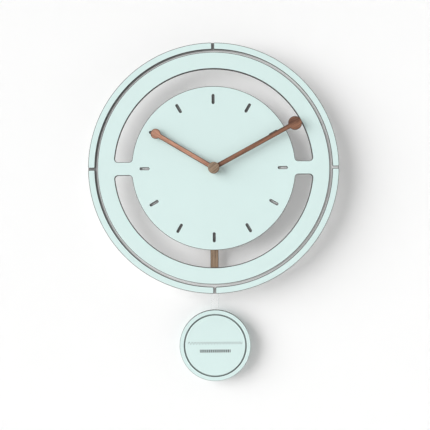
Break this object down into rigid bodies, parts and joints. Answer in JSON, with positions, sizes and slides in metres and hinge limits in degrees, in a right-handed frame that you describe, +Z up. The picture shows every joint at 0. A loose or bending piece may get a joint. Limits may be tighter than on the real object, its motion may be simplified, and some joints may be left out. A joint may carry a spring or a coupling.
{
  "type": "pendulum wall clock",
  "caption": "Wall clock with a layered open-ring face, slotted hour marks, wooden hands, a quartz movement behind it and a swinging pendulum with a round two-layer bob.",
  "frame": {"origin": "on the wall plane, on the flat back of the movement case, straight behind the arbor that carries the hands", "axes": "+X to the viewer's right, +Y into the wall, +Z up; the face looks along -Y"},
  "size_m": [0.3, 0.0423, 0.4071],
  "materials": {
    "mint_lacquer": "satin pale mint lacquer on fibreboard, dark laser-cut edges",
    "grey_board": "matt light grey paint on fibreboard, dark laser-cut edges",
    "light_walnut": "oiled red-brown walnut, grain along the hand",
    "dark_walnut": "oiled dark walnut, grain along the hand",
    "grey_walnut": "matt grey-brown walnut",
    "brass": "turned brass",
    "black_plastic": "fine-grained black moulding",
    "white_plastic": "natural acetal moulding",
    "clear_plastic": "clear polished acrylic",
    "rubber": "matt black rubber",
    "steel": "plain zinc-plated steel",
    "magnet": "nickel-plated magnet",
    "copper": "enamelled copper winding",
    "circuit_green": "green solder mask",
    "battery_wrap": "dark printed wrap with a plain band"
  },
  "bodies": {
    "clock": {"rear_case": "black_plastic", "front_cover": "black_plastic", "case_screw_1": "steel", "case_screw_2": "steel", "case_screw_3": "steel", "case_screw_4": "steel", "rubber_washer": "rubber", "back_board": "grey_board", "face_board": "mint_lacquer", "rim_arc_1": "mint_lacquer", "rim_arc_2": "mint_lacquer", "rim_arc_3": "mint_lacquer", "rim_arc_4": "mint_lacquer", "front_washer": "steel", "hex_nut": "brass", "train_bridge": "black_plastic", "circuit_board": "circuit_green", "drive_chip": "black_plastic", "quartz_crystal": "steel", "stator": "steel", "coil_core": "steel", "motor_spool": "black_plastic", "motor_winding": "copper", "contact_plus": "steel", "contact_minus": "steel", "drive_spool": "black_plastic", "drive_winding": "copper", "lever_pin": "steel"},
    "minute_group": {"minute_arbor": "steel", "minute_bush": "brass", "minute_hand": "dark_walnut", "hand_nut": "brass", "hand_cap": "grey_walnut"},
    "hour_group": {"hour_wheel": "white_plastic", "hour_bush": "brass", "hour_hand": "light_walnut"},
    "motion_group": {"motion_wheel": "white_plastic", "setting_knob": "black_plastic"},
    "seconds_group": {"seconds_wheel": "white_plastic"},
    "third_group": {"third_wheel": "white_plastic"},
    "centre_group": {"centre_wheel": "white_plastic"},
    "intermediate_group": {"intermediate_wheel": "white_plastic"},
    "rotor_group": {"rotor": "magnet"},
    "pendulum": {"swing_lever": "white_plastic", "drive_magnet": "magnet", "rod_hook": "steel", "hook_screw_1": "steel", "hook_screw_2": "steel", "pendulum_rod": "grey_walnut", "clear_link": "clear_plastic", "link_screw_1": "steel", "link_screw_2": "steel", "link_screw_3": "steel", "link_screw_4": "steel", "bob_back": "mint_lacquer", "bob_ring": "mint_lacquer", "bob_disc": "mint_lacquer"},
    "cell": {"battery": "battery_wrap"}
  },
  "joints": [
    {"name": "minute_spin", "type": "hinge", "parent": "clock", "child": "minute_group", "pos_m": [0, 0, 0], "axis": [0, 1, 0], "continuous": true},
    {"name": "hour_spin", "type": "hinge", "parent": "clock", "child": "hour_group", "pos_m": [0, 0, 0], "axis": [0, 1, 0], "continuous": true},
    {"name": "motion_spin", "type": "hinge", "parent": "clock", "child": "motion_group", "pos_m": [0, 0, 0.0132], "axis": [0, 1, 0], "continuous": true},
    {"name": "seconds_spin", "type": "hinge", "parent": "clock", "child": "seconds_group", "pos_m": [0, 0, 0], "axis": [0, 1, 0], "continuous": true},
    {"name": "third_spin", "type": "hinge", "parent": "clock", "child": "third_group", "pos_m": [0.00935, 0, -0.0054], "axis": [0, 1, 0], "continuous": true},
    {"name": "centre_spin", "type": "hinge", "parent": "clock", "child": "centre_group", "pos_m": [0, 0, 0], "axis": [0, 1, 0], "continuous": true},
    {"name": "intermediate_spin", "type": "hinge", "parent": "clock", "child": "intermediate_group", "pos_m": [-0.00935, 0, -0.0054], "axis": [0, 1, 0], "continuous": true},
    {"name": "rotor_spin", "type": "hinge", "parent": "clock", "child": "rotor_group", "pos_m": [-0.0181, 0, -0.0054], "axis": [0, 1, 0], "continuous": true},
    {"name": "pendulum_swing", "type": "hinge", "parent": "clock", "child": "pendulum", "pos_m": [0, 0, -0.026], "axis": [0, 1, 0], "range_deg": [-8, 8]},
    {"name": "battery_out", "type": "slide", "parent": "clock", "child": "cell", "axis": [0, 1, 0], "range_m": [0, 0.025]}
  ],
  "couplings": [
    {"joint": "hour_spin", "follows": "minute_spin", "ratio": 0.083333},
    {"joint": "motion_spin", "follows": "minute_spin", "ratio": -0.33333},
    {"joint": "third_spin", "follows": "seconds_spin", "ratio": -0.13333},
    {"joint": "centre_spin", "follows": "seconds_spin", "ratio": 0.016667},
    {"joint": "intermediate_spin", "follows": "seconds_spin", "ratio": -5},
    {"joint": "rotor_spin", "follows": "seconds_spin", "ratio": 30}
  ]
}
